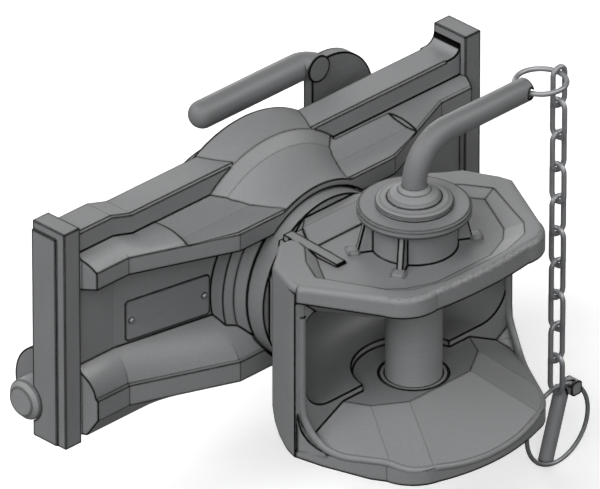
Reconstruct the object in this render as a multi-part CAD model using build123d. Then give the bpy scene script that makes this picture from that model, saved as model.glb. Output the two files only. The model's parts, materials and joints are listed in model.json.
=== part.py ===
from build123d import *
import os
from math import atan, cos, pi, radians, sin, sqrt

# Trailer coupler for a tractor's ladder frame: a slide frame with two locking bolts, a swivelling
# jaw, a coupling pin lifted by its handle, and a chained linch pin.
# Millimetres. Origin: the coupling pin's axis (Z) crosses the jaw's swivel axis (Y).
# +X to the right along the frame, -Y out of the jaw's mouth, +Z up.

# Guide rails
rail_span = 329.0            # over the outer faces, the gap between a ladder's two guides
rail_thick = 13.0
rail_depth = 25.0            # along Y
rail_back_y = 134.2
rail_low_z = -60.4
rail_high_z = 76.9
rail_lead = 0.9              # shallow lead-in on the outer face
rail_lead_top = 5.4
rail_lead_front = 6.4

# Frame casting
frame_back_y = rail_back_y
frame_low_z = -55.0
under_front_y = 106.0        # front edge of the flat underside
flange_front_y = 113.0       # front of the top flange, and of the web's straight end
flange_face = 12.7           # height of the flange's upright front face
top_left_z = 66.8
top_left_end_z = 71.3        # raised seat beside the left rail
top_right_z = 64.6
left_step_run = 15.0
right_cove_r = 7.0
rib_high_z = 51.0
rib_front_high = 12.0        # height of the upper rib's front face
low_rib_high_z = -31.0
low_rib_front_high = 13.6
rib_end_y = 100.0            # rib fronts beside the rails
rib_mid_y = 75.0             # rib fronts across the middle
bend_inset = 28.5            # from a rail in to where ribs and web turn towards the barrel
mid_inset = 90.5             # from a rail in to the straight middle
rib_end_inset = 5.0
web_mid_y = 100.8
web_thick = 12.0
web_foot_z = -13.0
end_wall = 11.0
edge_round = 1.2

# Swivel bearing in the frame
flange_r = 51.0              # jaw flange ring
flange_ring_back_y = 80.0
flange_ring_front_y = 67.0
swivel_gap = 0.3
boss_nose_r = 54.0
boss_nose_y = 87.6
boss_r = 59.5
boss_seam_y = 90.6
barrel_r = 62.0
hood_back_r = 77.0
hood_mid_r = 72.0
hood_front_r = 56.5
shaft_r = 32.0
bush_wall = 5.0
bush_long = 28.0
running_gap = 0.05
bore_gap = 1.0               # round the shaft between its bushes
washer_r = 47.0
washer_thick = 4.0
rear_shaft_r = 24.0
shaft_step_y = 120.0
nut_recess_wall = 5.0
nut_recess_y = 152.0

# Rear hub, lever and locking bolts
hub_r = 37.0
hub_end_y = 167.0
lever_front_y = 156.0
lever_thick = 7.0
lever_ring_wide = 9.5
lever_lobe_r = 35.0
lever_lobe_x = 90.0
lever_lobe_z = 36.0
lever_edge_x = 76.7
lever_swing = 25.0           # degrees, handle lifted
retainer_thick = 2.0
retainer_wide = 4.0
retainer_groove = 1.5
retainer_gap = 8.0
bolt_r = 12.0
bolt_y = 140.0
bolt_z = -40.0
bolt_reach = 4.0             # past the rail's outer face, locked
bolt_inner_x = 56.0
bolt_chamfer = 3.4
bolt_travel = 18.0
guide_wall = 3.4
guide_boss_r = 25.2
guide_boss_inset = 3.5
guide_boss_long = 10.0
drive_pin_r = 5.0
drive_pin_x = 66.0
slot_gap = 0.15
cam_web = 6.0                # metal left round a cam slot
handle_r = 8.2
handle_y = 160.0
handle_z = 70.5
handle_tip_x = -14.5
handle_bend_x = 67.5
handle_bend_r = 8.6
handle_stub = 1.5

# Swivel nut
nut_room = 10.0              # from the recess's wall to the nut's flats
nut_thick = 11.0
nut_slots = 6
nut_slot_wide = 5.0
nut_slot_deep = 6.0
spring_thick = 2.5
spring_rise = 2.0
spring_room = 2.0
thread_r = 15.0
cotter_r = 2.0
cotter_reach = 1.5           # past the nut's flats
cotter_eye_r = 3.0
shaft_end_past_nut = 2.0

# Jaw
rim_z = 54.3                 # rim of the top plate, level with the pin's axis
rim_rise = 0.035             # towards the front, for each millimetre of Y
rim_round = 3.5
jaw_floor_top_z = 49.5       # dished floor of the top plate
plate_edge_z = 43.5          # underside at the plate's edge
plate_low_z = 33.0           # ceiling of the mouth
mouth_low_z = -33.0          # floor that the pin meets
lip_low_z = -62.6
throat_half_wide = 80.0
throat_half_deep = 54.0
throat_round = 19.0
ceiling_round = 8.0
ledge_high = 4.0
pin_pocket_r = 34.5
wall_front_y = 5.8
neck_half_high = 50.0
low_boss_r = 30.0
low_boss_z = -70.0
low_boss_top_z = -50.0
slope_run = 80.0
cut_reach = 100.0            # of a cutting solid, past the jaw's sides
front_slope = (-90.0, 20.5, 0.53)      # heading in plan, where it leaves the floor, fall
corner_slope = (-57.0, 30.2, 0.48)
side_slope = (-28.0, 41.4, 0.58)
gusset_thick = 14.0
neck_corner = 0.62           # where the neck's chamfers start, as a share of its half width
neck_sides = 8
pin_boss_r = 24.0
pin_boss_top_z = 70.0
boss_rib_thick = 4.0
boss_rib_reach = 33.0
boss_rib_toe = 3.0
boss_rib_angle = 30.5        # from the X axis
fin_x = 45.0
fin_back_y = 54.0
fin_front_y = 12.0
fin_thick = 7.0
fin_front_high = 1.5
fin_back_high = 3.8

# Coupling pin and its handle
pin_r = 16.0
pin_bush_wall = 3.5
pin_low_z = -90.0
disc_r = 32.1
disc_thick = 5.5
shoulder_r = 22.0
shoulder_top_r = 19.5
shoulder_thick = 4.0
cone_r = 14.1
cone_thick = 8.4
rod_r = 7.0
rod_bend_r = 25.0
rod_z = 113.0
rod_end_x = 89.0
linch_hole_r = 5.0
linch_hole_z = -80.0

# Split ring, chain and linch pin
ring_mid_r = 14.5
ring_wire_r = 1.5
ring_x = 99.6
ring_hole_r = 3.1
link_wire = 3.1
link_pitch = 20.6
link_wide = 12.4
link_gap = 0.25
link_count = 10
linch_r = 4.4
linch_tip_chamfer = 1.2
linch_top_x = 125.2
linch_top_z = -96.6
linch_tip_x = 111.8
linch_tip_z = -140.9
linch_head_turn = 54.0       # degrees round the ring, from +X
linch_head_wide = 8.5
linch_head_reach = 8.0       # along X, from the shank to the far side
linch_ring_r = 24.5
linch_ring_wire_r = 1.3
linch_eye_gap = 0.35

# Nameplate
name_rail_gap = 36.0         # from the left rail to the plate
name_barrel_gap = 0.5        # from the barrel to the plate
name_high = 26.0
name_thick = 0.8
name_z = 1.5
name_corner = 2.5
rivet_inset = 4.0            # from the plate's ends
rivet_r = 2.0

os.makedirs("parts", exist_ok=True)

half_span = rail_span / 2
rail_inner_x = half_span - rail_thick
rail_front_y = rail_back_y - rail_depth
bend_x = rail_inner_x - bend_inset
rib_mid_x = rail_inner_x - mid_inset
web_slope = (flange_front_y - web_mid_y) / (bend_x - rib_mid_x)
nut_recess_r = hub_r - nut_recess_wall
lever_ring_r = hub_r + lever_ring_wide
front_bush_y = flange_ring_back_y + swivel_gap + washer_thick
rear_bush_y = nut_recess_y - bush_long
pin_bush_r = pin_r + running_gap + pin_bush_wall
cam_rate = bolt_travel / radians(lever_swing)
nut_flats = 2 * (nut_recess_r - nut_room)
spring_r = nut_recess_r - spring_room
name_from_x = name_rail_gap - rail_inner_x
name_to_x = -boss_r - name_barrel_gap
name_x = (name_from_x + name_to_x) / 2
name_wide = (name_to_x - name_from_x) / cos(atan(web_slope))
rivet_gap = name_wide - 2 * rivet_inset


def save(part, node):
    part.label = node
    export_step(part, f"parts/{node}.step")


def turned(profile_points, axis=Axis.Z):
    """Solid of revolution from (radius, height) points, closed to the axis line."""
    plane = Plane.XZ if axis == Axis.Z else Plane.XY
    outline = Polyline(*profile_points, close=True)
    return revolve(plane * make_face(outline), axis, 360)


def closed_face(pieces):
    """Face inside a closed chain of lines, arcs and curves."""
    return make_face([edge for piece in pieces for edge in piece.edges()])


def cylinder_y(radius, y_from, y_to, x=0.0, z=0.0):
    disc = Plane((x, y_from, z), x_dir=(1, 0, 0), z_dir=(0, 1, 0)) * Circle(radius)
    return extrude(disc, y_to - y_from)


def cylinder_x(radius, x_from, x_to, y=0.0, z=0.0):
    disc = Plane((x_from, y, z), x_dir=(0, 1, 0), z_dir=(1, 0, 0)) * Circle(radius)
    return extrude(disc, x_to - x_from)


def cylinder_z(radius, z_from, z_to, x=0.0, y=0.0):
    return extrude(Plane((x, y, z_from)) * Circle(radius), z_to - z_from)


def block(x_from, x_to, y_from, y_to, z_from, z_to):
    box = Box(x_to - x_from, y_to - y_from, z_to - z_from)
    return Pos((x_from + x_to) / 2, (y_from + y_to) / 2, (z_from + z_to) / 2) * box


def plan_solid(points, z_from, z_to):
    return extrude(Plane((0, 0, z_from)) * make_face(Polyline(*points, close=True)), z_to - z_from)


# Frame

def frame_section(x, rib_y, web_y, top_z, face_down):
    """Casting's cross-section at x: top flange, concave band, two ribs, web and rear pocket."""
    at = Plane((x, 0, 0), x_dir=(0, 1, 0), z_dir=(1, 0, 0))
    face_low_z = top_z - face_down
    band = (Vector(flange_front_y, face_low_z), Vector(rib_y + edge_round, rib_high_z))
    foot = (Vector(web_y, web_foot_z), Vector(rib_y + edge_round, low_rib_high_z))
    edges = [
        Polyline((frame_back_y, rib_high_z + 3), (frame_back_y, top_z - edge_round),
                 (frame_back_y - edge_round, top_z), (flange_front_y + edge_round, top_z),
                 (flange_front_y, top_z - edge_round), (band[0].X, band[0].Y)),
        sagged(band[0], band[1], -0.09),
        Polyline((rib_y + edge_round, rib_high_z), (rib_y, rib_high_z - edge_round),
                 (rib_y, rib_high_z - rib_front_high), (web_y, rib_high_z - rib_front_high - 2),
                 (web_y, web_foot_z)),
        sagged(foot[0], foot[1], -0.12),
        Polyline((rib_y + edge_round, low_rib_high_z), (rib_y, low_rib_high_z - edge_round),
                 (rib_y, low_rib_high_z - low_rib_front_high),
                 (under_front_y, frame_low_z), (frame_back_y, frame_low_z),
                 (frame_back_y, low_rib_high_z - low_rib_front_high - 2),
                 (web_y + web_thick, low_rib_high_z - low_rib_front_high + 2),
                 (web_y + web_thick, rib_high_z - rib_front_high),
                 (frame_back_y, rib_high_z + 3)),
    ]
    return at * closed_face(edges)


def sagged(start, end, bow):
    """Arc from start to end, bowed by a share of its chord."""
    chord = end - start
    middle = (start + end) * 0.5 + Vector(-chord.Y, chord.X) * bow
    return ThreePointArc((start.X, start.Y), (middle.X, middle.Y), (end.X, end.Y))


def frame_half(side, stations):
    sections = [frame_section(side * x, rib_y, web_y, top_z, flange_face)
                for x, rib_y, web_y, top_z in stations]
    if side > 0:
        sections.reverse()
    return loft(sections, ruled=True)


def web_y_at(x):
    return flange_front_y - web_slope * max(0.0, bend_x - x)


def rib_y_at(x):
    share = min(1.0, max(0.0, (bend_x - x) / (bend_x - rib_mid_x)))
    return rib_end_y + share * (rib_mid_y - rib_end_y)


def station(x, top_z):
    return (x, rib_y_at(x), web_y_at(x), top_z)


def barrel():
    """Swivel barrel with the hood that carries the top flange over it."""
    body = turned([(0, flange_ring_back_y + swivel_gap), (flange_r, flange_ring_back_y + swivel_gap),
                   (boss_nose_r, boss_nose_y), (boss_r, boss_seam_y),
                   (boss_r, web_mid_y + 2), (barrel_r, web_mid_y + web_thick),
                   (barrel_r, frame_back_y), (hub_r, frame_back_y), (hub_r, hub_end_y - 1),
                   (hub_r - 1, hub_end_y), (0, hub_end_y)], Axis.Y)
    hood_outline = [Line((0, rib_mid_y), (hood_front_r, rib_mid_y)),
                    Spline([(hood_front_r, rib_mid_y), (hood_mid_r - 6, flange_ring_back_y + 16),
                            (hood_mid_r, flange_front_y), (hood_back_r, frame_back_y)]),
                    Polyline((hood_back_r, frame_back_y), (0, frame_back_y), (0, rib_mid_y))]
    hood = revolve(closed_face(hood_outline), Axis.Y, 360)
    hood &= block(-hood_back_r, hood_back_r, rib_mid_y, frame_back_y,
                  rib_high_z - rib_front_high, hood_back_r)
    return body + hood


def bolt_guide(side):
    """Rear tube that a locking bolt slides in, with its end boss."""
    end_x = rail_inner_x - guide_boss_inset
    tube = cylinder_x(bolt_r + guide_wall, side * hub_r, side * end_x, bolt_y, bolt_z)
    boss = cylinder_x(guide_boss_r, side * (end_x - guide_boss_long), side * end_x, bolt_y, bolt_z)
    return tube + boss - drive_slot(side)


def drive_slot(side):
    """Window in the guide's rear wall for the drive pin."""
    low = drive_pin_x - drive_pin_r - 1
    high = drive_pin_x + bolt_travel + drive_pin_r + 1
    return block(*sorted((side * low, side * high)), bolt_y, bolt_y + bolt_r + 2 * guide_wall,
                 bolt_z - drive_pin_r - 0.5, bolt_z + drive_pin_r + 0.5)


def frame_casting():
    left = frame_half(-1, [station(rail_inner_x, top_left_end_z), station(bend_x, top_left_end_z),
                           station(bend_x - left_step_run, top_left_z),
                           station(rib_mid_x, top_left_z), station(0, top_left_z)])
    right = frame_half(1, [station(rail_inner_x, top_right_z), station(bend_x, top_right_z),
                           station(rib_mid_x, top_right_z), station(0, top_right_z)])
    casting = left + right + barrel()
    for side in (-1, 1):
        casting += bolt_guide(side)
        end_low, end_high = sorted((side * (rail_inner_x - end_wall), side * rail_inner_x))
        casting += block(end_low, end_high, flange_front_y, frame_back_y, frame_low_z, top_right_z)
    cove_low_x = rail_inner_x - right_cove_r
    cove = block(cove_low_x, rail_inner_x, flange_front_y, frame_back_y,
                 top_right_z - 1, top_right_z + right_cove_r)
    cove -= cylinder_y(right_cove_r, flange_front_y, frame_back_y, cove_low_x,
                       top_right_z + right_cove_r)
    casting += cove
    casting -= rib_end_cuts()
    casting -= cylinder_y(flange_r + 1.2, 0, flange_ring_back_y + swivel_gap)
    casting -= cylinder_y(shaft_r + bore_gap, 0, shaft_step_y + bore_gap)
    casting -= cylinder_y(rear_shaft_r + bore_gap, 0, hub_end_y)
    casting -= cylinder_y(nut_recess_r, nut_recess_y, hub_end_y)
    casting -= cylinder_y(shaft_r + running_gap + bush_wall, front_bush_y, front_bush_y + bush_long)
    casting -= cylinder_y(rear_shaft_r + running_gap + bush_wall, rear_bush_y, nut_recess_y)
    casting -= cylinder_y(washer_r, 0, front_bush_y)
    casting -= retainer_space()
    for side in (-1, 1):
        inner_x = bolt_inner_x - 2
        casting -= cylinder_x(bolt_r + running_gap, side * inner_x, side * half_span, bolt_y, bolt_z)
    return casting


def rib_end_cuts():
    """Chamfered rib ends, short of the rails."""
    cuts = Part()
    for z_from, z_to in ((rib_high_z - rib_front_high - 1, rib_high_z + 6),
                         (low_rib_high_z - low_rib_front_high - 6, low_rib_high_z + 4)):
        for side in (-1, 1):
            start_x = rail_inner_x - rib_end_inset
            points = [(side * start_x, rib_end_y - 2), (side * rail_inner_x, rib_end_y + 8),
                      (side * (rail_inner_x + 1), rib_end_y + 8),
                      (side * (rail_inner_x + 1), rib_end_y - 2)]
            cuts += plan_solid(points, z_from, z_to)
    return cuts


def guide_rail(side):
    inner, outer = sorted((side * rail_inner_x, side * half_span))
    rail = block(inner, outer, rail_front_y, rail_back_y, rail_low_z, rail_high_z)
    lead_x = side * (half_span - rail_lead)
    beyond = side * (half_span + 1)
    low, high = sorted((lead_x, beyond))
    rail -= block(low, high, rail_front_y - 1, rail_front_y + rail_lead_front, rail_low_z - 1,
                  rail_high_z + 1)
    rail -= block(low, high, rail_front_y - 1, rail_back_y + 1, rail_high_z - rail_lead_top,
                  rail_high_z + 1)
    rail -= cylinder_x(bolt_r + 0.4, side * (rail_inner_x - 1), side * (half_span + 1), bolt_y, bolt_z)
    return rail


def retainer_space():
    y_from = lever_front_y + lever_thick + swivel_gap
    groove = cylinder_y(hub_r + retainer_wide, y_from, y_from + retainer_thick)
    return groove - cylinder_y(hub_r - retainer_groove, y_from, y_from + retainer_thick)


def lever_retaining_ring():
    gap = block(-retainer_gap / 2, retainer_gap / 2, lever_front_y, hub_end_y, 0,
                hub_r + 2 * retainer_wide)
    return retainer_space() - gap


def swivel_bush(journal_r, y_from):
    ring = cylinder_y(journal_r + running_gap + bush_wall, y_from, y_from + bush_long)
    return ring - cylinder_y(journal_r + running_gap, y_from, y_from + bush_long)


def thrust_washer():
    y_from = flange_ring_back_y + swivel_gap
    return (cylinder_y(washer_r, y_from, y_from + washer_thick)
            - cylinder_y(shaft_r + running_gap + 0.5, y_from, y_from + washer_thick))


def name_plane():
    """Plane on the web's sloping front face, X along the plate, Z out of the face."""
    slope = atan(web_slope)
    face_y = web_y_at(-name_x)
    return Plane((name_x, face_y, name_z), x_dir=(cos(slope), -sin(slope), 0),
                 z_dir=(-sin(slope), -cos(slope), 0))


def nameplate():
    plate = extrude(name_plane() * RectangleRounded(name_wide, name_high, name_corner), name_thick)
    for x in (-rivet_gap / 2, rivet_gap / 2):
        plate -= name_plane() * Pos(x, 0, name_thick / 2) * Cylinder(rivet_r * 0.55, 2 * name_thick)
    return plate


def nameplate_rivets():
    rivets = []
    for x in (-rivet_gap / 2, rivet_gap / 2):
        dome = Sphere(rivet_r) & Pos(0, 0, rivet_r / 2) * Box(2 * rivet_r, 2 * rivet_r, rivet_r)
        shank = Pos(0, 0, -name_thick / 2) * Cylinder(rivet_r * 0.55, name_thick)
        rivets.append(name_plane() * Pos(x, 0, name_thick) * (dome + shank))
    return Compound(children=rivets)


# Lever and locking bolts

def cam_point(side, turn):
    """Drive pin's place in the lever's own frame, after the lever has turned by this angle."""
    x = side * (drive_pin_x + cam_rate * turn)
    return Vector(x * cos(turn) - bolt_z * sin(turn), x * sin(turn) + bolt_z * cos(turn))


def cam_band(side, half_wide, steps=8):
    """Outline of a band round the drive pin's path, with round ends."""
    swing = radians(lever_swing)
    turns = [swing * i / steps for i in range(steps + 1)]
    left, right = [], []
    for turn in turns:
        here = cam_point(side, turn)
        ahead = cam_point(side, turn + 0.001) - cam_point(side, turn - 0.001)
        across = Vector(-ahead.Y, ahead.X).normalized() * half_wide
        left.append(here + across)
        right.append(here - across)
    start = cam_point(side, 0)
    finish = cam_point(side, swing)
    before = (start - cam_point(side, 0.001)).normalized() * half_wide + start
    beyond = (finish - cam_point(side, swing - 0.001)).normalized() * half_wide + finish
    edges = [Spline(left), ThreePointArc(left[-1], beyond, right[-1]),
             Spline(right[::-1]), ThreePointArc(right[0], before, left[0])]
    return closed_face(edges)


def lever_plate():
    at = Plane((0, lever_front_y, 0), x_dir=(1, 0, 0), z_dir=(0, -1, 0))
    lobe = Pos(lever_lobe_x, lever_lobe_z) * Circle(lever_lobe_r)
    lobe -= Pos(lever_edge_x - lever_lobe_r, lever_lobe_z) * Rectangle(2 * lever_lobe_r, 3 * lever_lobe_r)
    half_wide = drive_pin_r + cam_web
    start = cam_point(1, 0)
    finish = cam_point(1, radians(lever_swing))
    arm = make_face(Polyline((0, lever_ring_r), (lever_edge_x, lever_lobe_z),
                             (lever_lobe_x, lever_lobe_z), (finish.X + half_wide, finish.Y),
                             (start.X + half_wide, start.Y), (start.X, start.Y - half_wide),
                             (0, -lever_ring_r), close=True))
    left_start = cam_point(-1, 0)
    left_finish = cam_point(-1, radians(lever_swing))
    left_arm = make_face(Polyline((-lever_ring_r, 0), (left_start.X - half_wide, left_start.Y),
                                  (left_finish.X - half_wide, left_finish.Y), (0, -lever_ring_r),
                                  close=True))
    shape = Circle(lever_ring_r) + lobe + arm + left_arm
    for side in (-1, 1):
        shape += cam_band(side, drive_pin_r + cam_web)
    shape -= Circle(hub_r + running_gap)
    for side in (-1, 1):
        shape -= cam_band(side, drive_pin_r + slot_gap)
    return extrude(at * shape, -lever_thick) - lever_rod_solid()


def lever_rod_solid():
    turn_end = (handle_bend_x + handle_bend_r, handle_y - handle_bend_r, handle_z)
    turn_mid = (handle_bend_x + handle_bend_r * sin(pi / 4),
                handle_y - handle_bend_r * (1 - cos(pi / 4)), handle_z)
    start = (handle_tip_x + handle_r, handle_y, handle_z)
    bend = (handle_bend_x, handle_y, handle_z)
    end = (turn_end[0], turn_end[1] - handle_stub, handle_z)
    path = Wire([Line(start, bend), ThreePointArc(bend, turn_mid, turn_end), Line(turn_end, end)])
    rod = sweep(Plane(start, z_dir=(1, 0, 0)) * Circle(handle_r), path=path)
    return rod + Pos(*start) * Sphere(handle_r)


def locking_bolt(side):
    body = cylinder_x(bolt_r, side * bolt_inner_x, side * (half_span + bolt_reach), bolt_y, bolt_z)
    nose = body.edges().filter_by(GeomType.CIRCLE).sort_by(lambda e: side * e.center().X)[-1]
    body = chamfer(nose, bolt_chamfer)
    return body - cylinder_y(drive_pin_r, bolt_y - bolt_r / 2, bolt_y + bolt_r + 1,
                             side * drive_pin_x, bolt_z)


def drive_pin(side):
    return cylinder_y(drive_pin_r, bolt_y - bolt_r / 2, lever_front_y + lever_thick + 1,
                      side * drive_pin_x, bolt_z)


# Swivelling jaw

def mirrored_outline(right_points):
    """Closed outline from its right half, listed from the front centre line to the back."""
    return right_points + [(-x, y) for x, y in reversed(right_points) if x > 0]


wall_outline = mirrored_outline([(0, wall_front_y), (80, wall_front_y), (86, 7.5), (84, 15), (75, 36),
                                 (65, 43), (59, 48), (50, 56)])
side_run = [(85.5, 7), (84, 15), (75, 36), (65, 43), (57, 50)]
ceiling_outline = mirrored_outline([(0, -40), (26, -38.5), (42, -34), (50, -25), (72, 8), (62, 36)])
under_outline = mirrored_outline([(0, -53.5), (34, -51), (53, -46), (59, -36), (83, 8), (73, 36)])
dish_outline = mirrored_outline([(0, -38.5), (21, -38.5), (38, -31.5), (47, -23.5), (63, 7),
                                 (54.5, 20), (44, 34), (38, 60)])
dish_rim_outline = mirrored_outline([(0, -52.5), (25, -51.5), (46, -46.5), (55, -37.5), (76, 7),
                                     (68, 28), (58, 38), (52, 60)])
dish_rim_z = 58.0
under_cut = [(-30, low_boss_z), (-30, lip_low_z), (-6, -58.5), (7, -55), (18, -54), (27, -51),
             (33, -45.5), (36, -38), (37, -30), (60, -30), (60, low_boss_z)]
gusset_corner = [(0, -52), (0, -27), (0.9, -33), (3.4, -39), (7.2, -44), (12, -47.5), (17, -49.5),
                 (17, -52)]


def curved_face(front_y, front_end, corner, corner_end, rest):
    """Face with a bowed front and rounded front corners, then straight runs to the back."""
    pieces = [ThreePointArc((-front_end[0], front_end[1]), (0, front_y), front_end)]
    for side in (-1, 1):
        pieces.append(ThreePointArc(*[(side * x, y) for x, y in (front_end, corner, corner_end)]))
        pieces.append(Polyline(*[(side * x, y) for x, y in [corner_end] + rest]))
    pieces.append(Line((-rest[-1][0], rest[-1][1]), rest[-1]))
    return closed_face(pieces)


def slab(low_points, low_z, high_points, high_z):
    """Ruled solid between two outlines with as many points."""
    sections = [Plane((0, 0, z)) * make_face(Polyline(*points, close=True))
                for z, points in ((low_z, low_points), (high_z, high_points))]
    return loft(sections, ruled=True)


def throat():
    """Rounded hollow that the drawbar eye swings in."""
    low = mouth_low_z + ledge_high
    hollow = extrude(Plane((0, 0, low)) * Ellipse(throat_half_wide, throat_half_deep), plate_low_z - low)
    hollow = fillet(hollow.edges().sort_by(Axis.Z)[:1], throat_round)
    return fillet(hollow.edges().sort_by(Axis.Z)[-1:], ceiling_round)


def slope_cut(heading, start, fall):
    """Everything above a plane that falls away from the mouth's floor along a heading."""
    high = mouth_low_z + 1
    at = Plane.XZ.rotated((0, 0, heading))
    face = make_face(Polyline((start, mouth_low_z), (start + slope_run, mouth_low_z - fall * slope_run),
                              (start + slope_run, high), (start, high), close=True))
    return extrude(at * face, 2 * slope_run, both=True)


def lower_jaw():
    lip = curved_face(-65, (39, -58.5), (52.5, -51.5), (59.5, -38), side_run)
    jaw = extrude(Plane((0, 0, lip_low_z)) * lip, mouth_low_z - lip_low_z)
    jaw -= slope_cut(*front_slope)
    for heading, start, fall in (corner_slope, side_slope):
        jaw -= slope_cut(heading, start, fall)
        jaw -= slope_cut(180 - heading, start, fall)
    jaw -= wall_under_cut()
    return jaw + cylinder_z(low_boss_r, low_boss_z, low_boss_top_z)


def wall_under_cut():
    """Rise of the casting's underside from the lip to the back of the side walls."""
    return extrude(Plane.YZ * make_face(Polyline(*under_cut, close=True)), cut_reach, both=True)


def upper_jaw():
    rim = curved_face(-55.5, (36, -53), (54, -48.5), (61.5, -37.5), side_run)
    plate = extrude(Plane((0, 0, plate_edge_z)) * rim, dish_rim_z - plate_edge_z)
    above = Polyline((-cut_reach, rim_z + rim_rise * cut_reach), (cut_reach, rim_z - rim_rise * cut_reach),
                     (cut_reach, cut_reach), (-cut_reach, cut_reach), close=True)
    plate -= extrude(Plane.YZ * make_face(above), cut_reach, both=True)
    plate = fillet(plate.faces().sort_by(Axis.Z)[-1].edges(), rim_round)
    plate -= slab(dish_outline, jaw_floor_top_z, dish_rim_outline, dish_rim_z)
    return plate + slab(ceiling_outline, plate_low_z, under_outline, plate_edge_z)


def pin_boss():
    boss = cylinder_z(pin_boss_r, jaw_floor_top_z - 1, pin_boss_top_z)
    toe_x = boss_rib_reach + boss_rib_toe
    for turn in (boss_rib_angle, 180 - boss_rib_angle, -boss_rib_angle, boss_rib_angle - 180):
        rib = block(0, toe_x, -boss_rib_thick / 2, boss_rib_thick / 2,
                    jaw_floor_top_z - 1, pin_boss_top_z)
        slope = Plane.XZ * make_face(Polyline((boss_rib_reach, jaw_floor_top_z + 1),
                                              (toe_x, jaw_floor_top_z + 0.5),
                                              (toe_x, pin_boss_top_z + 1),
                                              (disc_r - 4, pin_boss_top_z + 1), close=True))
        rib -= extrude(slope, boss_rib_thick, both=True)
        boss += Rot(0, 0, turn) * rib
    return boss


def neck():
    """Faceted neck from the jaw's back to the round flange."""
    sections = []
    for y, half_wide in ((36, 74.5), (45, 62.5), (56, 50.5)):
        at = Plane((0, y, 0), x_dir=(1, 0, 0), z_dir=(0, 1, 0))
        corners = ((1, neck_corner), (neck_corner, 1), (-neck_corner, 1), (-1, neck_corner),
                   (-1, -neck_corner), (-neck_corner, -1), (neck_corner, -1), (1, -neck_corner))
        sections.append(at * make_face(Polyline(*[(x * half_wide, z * neck_half_high)
                                                  for x, z in corners], close=True)))
    back = Plane((0, flange_ring_front_y, 0), x_dir=(1, 0, 0), z_dir=(0, 1, 0))
    sections.append(back * RegularPolygon(flange_r - 1, neck_sides, rotation=180 / neck_sides))
    return loft(sections, ruled=True)


def corner_gusset(side):
    """Rounded corner between a side wall's front edge and the lip."""
    at = Plane((side * 85, 6.5, 0), x_dir=(-side * 0.48, -0.877, 0), z_dir=(-0.877, side * 0.48, 0))
    return extrude(at * make_face(Polyline(*gusset_corner, close=True)), side * gusset_thick)


def jaw_casting():
    walls = plan_solid(wall_outline, lip_low_z, jaw_floor_top_z) - wall_under_cut()
    jaw = lower_jaw() + upper_jaw() + walls + neck() + pin_boss()
    jaw += cylinder_y(flange_r, flange_ring_front_y, flange_ring_back_y)
    for side in (-1, 1):
        jaw += corner_gusset(side)
        jaw += jaw_fin(side)
    jaw -= throat()
    jaw -= cylinder_z(pin_pocket_r, mouth_low_z, 0)
    jaw += swivel_shaft()
    jaw -= cylinder_z(pin_bush_r, plate_low_z - 1, pin_boss_top_z + 1)
    jaw -= cylinder_z(pin_bush_r, low_boss_z - 1, mouth_low_z + 1)
    return jaw


def jaw_fin(side):
    """Gusset that rises from the top plate to the neck."""
    at = Plane((side * fin_x, 0, 0), x_dir=(0, 1, 0), z_dir=(1, 0, 0))
    face = make_face(Polyline((fin_front_y, jaw_floor_top_z - 1),
                              (fin_front_y, jaw_floor_top_z + fin_front_high),
                              (fin_back_y, jaw_floor_top_z + fin_back_high),
                              (fin_back_y, jaw_floor_top_z - 8), close=True))
    return extrude(at * face, fin_thick / 2, both=True)


def swivel_shaft():
    tail_y = nut_recess_y - 2 * bore_gap
    shaft = cylinder_y(shaft_r, flange_ring_back_y, shaft_step_y)
    shaft += cylinder_y(rear_shaft_r, flange_ring_back_y, tail_y)
    shaft += cylinder_y(thread_r, flange_ring_back_y, nut_front_y() + nut_thick + shaft_end_past_nut)
    return shaft - cylinder_x(cotter_r + swivel_gap, -nut_flats, nut_flats, cotter_y(), 0)


def nut_front_y():
    return nut_recess_y + swivel_gap + spring_thick + spring_rise


def cotter_y():
    return nut_front_y() + nut_thick - nut_slot_deep / 2


def disc_spring():
    """Coned washer that holds the swivel by friction."""
    y_from = nut_recess_y + swivel_gap
    inner = thread_r + swivel_gap
    return turned([(inner, y_from + spring_rise), (spring_r, y_from),
                   (spring_r, y_from + spring_thick), (inner, y_from + spring_rise + spring_thick)],
                  Axis.Y)


def swivel_nut():
    at = Plane((0, nut_front_y(), 0), x_dir=(1, 0, 0), z_dir=(0, 1, 0))
    nut = extrude(at * RegularPolygon(nut_flats / 2, 6, major_radius=False, rotation=30), nut_thick)
    nut -= cylinder_y(thread_r, nut_front_y(), nut_front_y() + nut_thick)
    slot = block(0, nut_flats, nut_front_y() + nut_thick - nut_slot_deep,
                 nut_front_y() + nut_thick + 1, -nut_slot_wide / 2, nut_slot_wide / 2)
    for i in range(nut_slots):
        nut -= Rot(0, 360 * i / nut_slots, 0) * slot
    return nut


def cotter_pin():
    reach = nut_flats / 2 + cotter_reach
    shank = cylinder_x(cotter_r, -reach, reach, cotter_y(), 0)
    eye = Pos(-reach - cotter_eye_r, cotter_y(), 0) * Torus(cotter_eye_r, cotter_r * 0.7)
    return shank + eye


def pin_bush(z_from, z_to):
    return cylinder_z(pin_bush_r, z_from, z_to) - cylinder_z(pin_r + running_gap, z_from, z_to)


def pin_disc():
    """Chamfered disc that caps the pin's boss and its ribs."""
    disc = cylinder_z(disc_r, pin_boss_top_z, pin_boss_top_z + disc_thick)
    disc = chamfer(disc.edges().filter_by(GeomType.CIRCLE), 1.0)
    return disc - cylinder_z(pin_r + running_gap, pin_boss_top_z, pin_boss_top_z + disc_thick)


# Coupling pin

def shoulder_z():
    return pin_boss_top_z + disc_thick + running_gap


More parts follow.
